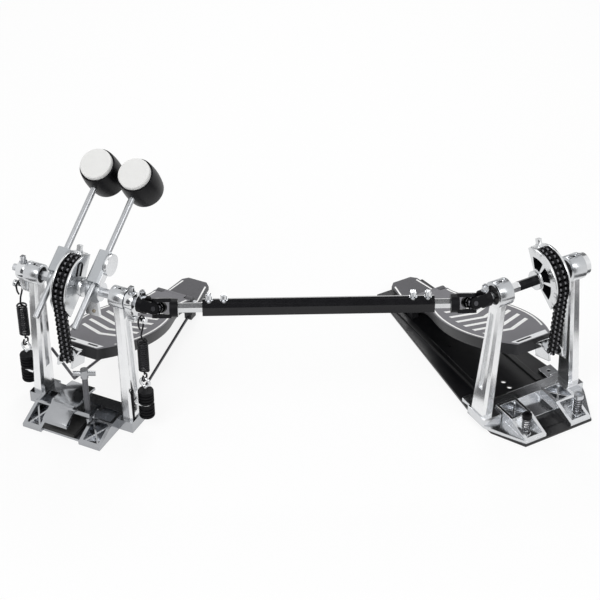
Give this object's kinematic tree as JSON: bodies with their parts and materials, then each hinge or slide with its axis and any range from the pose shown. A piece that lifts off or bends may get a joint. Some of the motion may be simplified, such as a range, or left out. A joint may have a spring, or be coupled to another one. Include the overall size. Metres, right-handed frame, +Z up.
{
  "type": "double bass drum pedal",
  "caption": "Chain-driven double bass drum pedal: a main pedal with paired beaters and a hoop clamp, joined by a telescoping universal-joint shaft to a slave pedal on a base plate.",
  "frame": {"origin": "on the floor under the middle of the main pedal's axle", "axes": "+X along the drive shaft from the main pedal to the slave pedal, +Y away from the drum towards the heels, +Z up"},
  "size_m": [0.6522, 0.3333, 0.2774],
  "materials": {
    "chrome": "polished chrome plate",
    "cast_metal": "bright cast and plated",
    "steel": "bright zinc",
    "black_metal": "satin black",
    "chain_black": "black oxide plates, bright pins",
    "board": "dark grey powder coat",
    "rubber": "matt",
    "felt": "white felt",
    "barrel": "black shell",
    "holder": "satin grey",
    "spring_steel": "dark oiled wire"
  },
  "bodies": {
    "main_frame": {"main_base": "cast_metal", "main_left_post": "cast_metal", "main_right_post": "cast_metal", "main_bearings": "black_metal", "main_heel_plate": "board", "main_hinge_pin": "steel", "rubber_feet": "rubber", "stabilizer_wire": "steel", "spring_eyebolts": "chrome", "tension_nuts": "black_metal"},
    "clamp_jaw_body": {"clamp_jaw": "cast_metal"},
    "clamp_bolt_body": {"clamp_bolt": "chrome"},
    "main_treadle_body": {"main_footboard": "board", "main_chain_bracket": "chrome"},
    "first_axle_body": {"main_axle": "steel", "main_cam": "cast_metal", "first_holder": "holder", "left_rocker": "chrome", "main_chain": "chain_black"},
    "main_chain_upper_body": {"main_chain_upper": "chain_black"},
    "main_chain_middle_body": {"main_chain_middle": "chain_black"},
    "main_chain_tail_body": {"main_chain_tail": "chain_black"},
    "first_beater_body": {"first_rod": "chrome", "first_head": "barrel", "first_felt": "felt"},
    "left_spring_body": {"left_spring": "spring_steel"},
    "left_hook_body": {"left_spring_hook": "spring_steel"},
    "second_axle_body": {"second_axle": "steel", "second_holder": "holder", "right_rocker": "chrome", "main_yoke": "black_metal"},
    "second_beater_body": {"second_rod": "chrome", "second_head": "barrel", "second_felt": "felt"},
    "right_spring_body": {"right_spring": "spring_steel"},
    "right_hook_body": {"right_spring_hook": "spring_steel"},
    "main_cross_body": {"main_cross": "steel"},
    "shaft_body": {"shaft_tube": "black_metal", "main_shaft_yoke": "black_metal"},
    "slave_frame": {"slave_plate": "black_metal", "slave_base": "cast_metal", "slave_left_post": "cast_metal", "slave_right_post": "cast_metal", "slave_bearings": "black_metal", "slave_heel_plate": "board", "slave_hinge_pin": "steel", "anchor_springs": "spring_steel"},
    "slave_treadle_body": {"slave_footboard": "board", "slave_chain_bracket": "chrome"},
    "slave_axle_body": {"slave_axle": "steel", "slave_cam": "cast_metal", "slave_chain": "chain_black", "slave_yoke": "black_metal"},
    "slave_chain_upper_body": {"slave_chain_upper": "chain_black"},
    "slave_chain_middle_body": {"slave_chain_middle": "chain_black"},
    "slave_chain_tail_body": {"slave_chain_tail": "chain_black"},
    "slave_cross_body": {"slave_cross": "steel"},
    "slave_shaft_body": {"slave_shaft_yoke": "black_metal"},
    "left_anchor_body": {"left_anchor_screw": "steel"},
    "right_anchor_body": {"right_anchor_screw": "steel"}
  },
  "joints": [
    {"name": "main_treadle", "type": "hinge", "parent": "main_frame", "child": "main_treadle_body", "pos_m": [0.08858, 0.18488, 0.026], "axis": [0.9018, -0.4321, 0], "range_deg": [0, 7.7], "stiffness_Nm_per_rad": 12, "springref_deg": -20.05},
    {"name": "main_axle_turn", "type": "hinge", "parent": "main_frame", "child": "first_axle_body", "pos_m": [0, 0, 0.172], "axis": [0.9018, -0.4321, 0], "range_deg": [-0.5, 55.5]},
    {"name": "main_chain_upper_bend", "type": "hinge", "parent": "first_axle_body", "child": "main_chain_upper_body", "pos_m": [-0.00886, -0.01386, 0.20182], "axis": [0.9018, -0.4321, 0], "range_deg": [-10.09, 0.5]},
    {"name": "main_chain_middle_bend", "type": "hinge", "parent": "main_chain_upper_body", "child": "main_chain_middle_body", "pos_m": [-0.01463, -0.02592, 0.18856], "axis": [0.9018, -0.4321, 0], "range_deg": [-24.66, 0.5]},
    {"name": "main_chain_tail_bend", "type": "hinge", "parent": "main_chain_middle_body", "child": "main_chain_tail_body", "pos_m": [-0.01647, -0.02976, 0.17022], "axis": [0.9018, -0.4321, 0], "range_deg": [-26.5, 0.5]},
    {"name": "left_spring_swing", "type": "hinge", "parent": "main_frame", "child": "left_spring_body", "pos_m": [-0.07034, 0.0337, 0.06955], "axis": [0.9018, -0.4321, 0], "range_deg": [-12.4, 0.5]},
    {"name": "left_spring_stretch", "type": "slide", "parent": "left_spring_body", "child": "left_hook_body", "axis": [0, 0, 1], "range_m": [-0.0005, 0.012], "deforming": ["left_spring"]},
    {"name": "first_beater_height", "type": "slide", "parent": "first_axle_body", "child": "first_beater_body", "axis": [0.3582, 0.7477, 0.5592], "range_m": [-0.02, 0.02]},
    {"name": "shaft_reach", "type": "slide", "parent": "main_frame", "child": "slave_frame", "axis": [0.9996, 0.0289, 0], "range_m": [-0.012, 0.06]},
    {"name": "slave_treadle", "type": "hinge", "parent": "slave_frame", "child": "slave_treadle_body", "pos_m": [0.39849, 0.18754, 0.026], "axis": [0.866, 0.5, 0], "range_deg": [0, 7.64], "stiffness_Nm_per_rad": 12, "springref_deg": -20.05},
    {"name": "slave_axle_turn", "type": "hinge", "parent": "slave_frame", "child": "slave_axle_body", "pos_m": [0.50099, 0.01, 0.172], "axis": [0.866, 0.5, 0], "range_deg": [-0.5, 55.05]},
    {"name": "slave_chain_upper_bend", "type": "hinge", "parent": "slave_axle_body", "child": "slave_chain_upper_body", "pos_m": [0.51694, 0.00036, 0.20182], "axis": [0.866, 0.5, 0], "range_deg": [-10.01, 0.5]},
    {"name": "slave_chain_middle_bend", "type": "hinge", "parent": "slave_chain_upper_body", "child": "slave_chain_middle_body", "pos_m": [0.52363, -0.01121, 0.18856], "axis": [0.866, 0.5, 0], "range_deg": [-24.46, 0.5]},
    {"name": "slave_chain_tail_bend", "type": "hinge", "parent": "slave_chain_middle_body", "child": "slave_chain_tail_body", "pos_m": [0.52576, -0.0149, 0.17022], "axis": [0.866, 0.5, 0], "range_deg": [-26.29, 0.5]},
    {"name": "slave_cross_rock", "type": "hinge", "parent": "slave_axle_body", "child": "slave_cross_body", "pos_m": [0.42564, -0.0335, 0.172], "axis": [-0.4435, 0.7682, -0.4617], "range_deg": [-28.24, 0.5]},
    {"name": "slave_shaft_turn", "type": "hinge", "parent": "slave_frame", "child": "slave_shaft_body", "pos_m": [0.42564, -0.0335, 0.172], "axis": [0.9996, 0.0289, 0], "range_deg": [-0.5, 61.21]},
    {"name": "shaft_turn", "type": "hinge", "parent": "main_frame", "child": "shaft_body", "pos_m": [0.09018, -0.04321, 0.172], "axis": [0.9996, 0.0289, 0], "range_deg": [-0.5, 61.21]},
    {"name": "second_axle_turn", "type": "hinge", "parent": "main_frame", "child": "second_axle_body", "pos_m": [0, 0, 0.172], "axis": [0.9018, -0.4321, 0], "range_deg": [-0.5, 55.5]},
    {"name": "main_cross_rock", "type": "hinge", "parent": "second_axle_body", "child": "main_cross_body", "pos_m": [0.09018, -0.04321, 0.172], "axis": [0.3833, 0.7999, -0.4617], "range_deg": [-0.5, 27.26]},
    {"name": "right_spring_swing", "type": "hinge", "parent": "main_frame", "child": "right_spring_body", "pos_m": [0.07034, -0.0337, 0.06955], "axis": [0.9018, -0.4321, 0], "range_deg": [-12.4, 0.5]},
    {"name": "right_spring_stretch", "type": "slide", "parent": "right_spring_body", "child": "right_hook_body", "axis": [0, 0, 1], "range_m": [-0.0005, 0.012], "deforming": ["right_spring"]},
    {"name": "second_beater_height", "type": "slide", "parent": "second_axle_body", "child": "second_beater_body", "axis": [0.3582, 0.7477, 0.5592], "range_m": [-0.02, 0.02]},
    {"name": "jaw_tilt", "type": "hinge", "parent": "main_frame", "child": "clamp_jaw_body", "pos_m": [-0.01623, -0.01884, 0.017], "axis": [0.9018, -0.4321, 0], "range_deg": [0, 8]},
    {"name": "clamp_bolt_turn", "type": "hinge", "parent": "main_frame", "child": "clamp_bolt_body", "pos_m": [0.00468, -0.03883, 0.05], "axis": [0, 0, 1], "range_deg": [-1, 361]},
    {"name": "left_anchor_turn", "type": "hinge", "parent": "slave_frame", "child": "left_anchor_body", "pos_m": [0.49481, -0.0513, 0.02], "axis": [0, 0, 1], "continuous": true},
    {"name": "right_anchor_turn", "type": "hinge", "parent": "slave_frame", "child": "right_anchor_body", "pos_m": [0.55716, -0.0153, 0.02], "axis": [0, 0, 1], "continuous": true}
  ],
  "couplings": [
    {"joint": "main_axle_turn", "follows": "main_treadle", "ratio": 7.1429},
    {"joint": "main_chain_upper_bend", "follows": "main_treadle", "ratio": -1.2455},
    {"joint": "main_chain_middle_bend", "follows": "main_treadle", "ratio": -3.1377},
    {"joint": "main_chain_tail_bend", "follows": "main_treadle", "ratio": -3.3766},
    {"joint": "left_spring_swing", "follows": "main_treadle", "ratio": -1.5455},
    {"joint": "left_spring_stretch", "follows": "main_treadle", "m_per_rad": 0.085572},
    {"joint": "slave_axle_turn", "follows": "slave_treadle", "ratio": 7.1429},
    {"joint": "slave_chain_upper_bend", "follows": "slave_treadle", "ratio": -1.2455},
    {"joint": "slave_chain_middle_bend", "follows": "slave_treadle", "ratio": -3.1377},
    {"joint": "slave_chain_tail_bend", "follows": "slave_treadle", "ratio": -3.3766},
    {"joint": "slave_cross_rock", "follows": "slave_treadle", "ratio": -3.6327},
    {"joint": "slave_shaft_turn", "follows": "slave_treadle", "ratio": 7.9488},
    {"joint": "shaft_turn", "follows": "slave_treadle", "ratio": 7.9488},
    {"joint": "second_axle_turn", "follows": "slave_treadle", "ratio": 7.2017},
    {"joint": "main_cross_rock", "follows": "slave_treadle", "ratio": 3.5043},
    {"joint": "right_spring_swing", "follows": "slave_treadle", "ratio": -1.5582},
    {"joint": "right_spring_stretch", "follows": "slave_treadle", "m_per_rad": 0.086276},
    {"joint": "clamp_bolt_turn", "follows": "jaw_tilt", "ratio": 45}
  ]
}
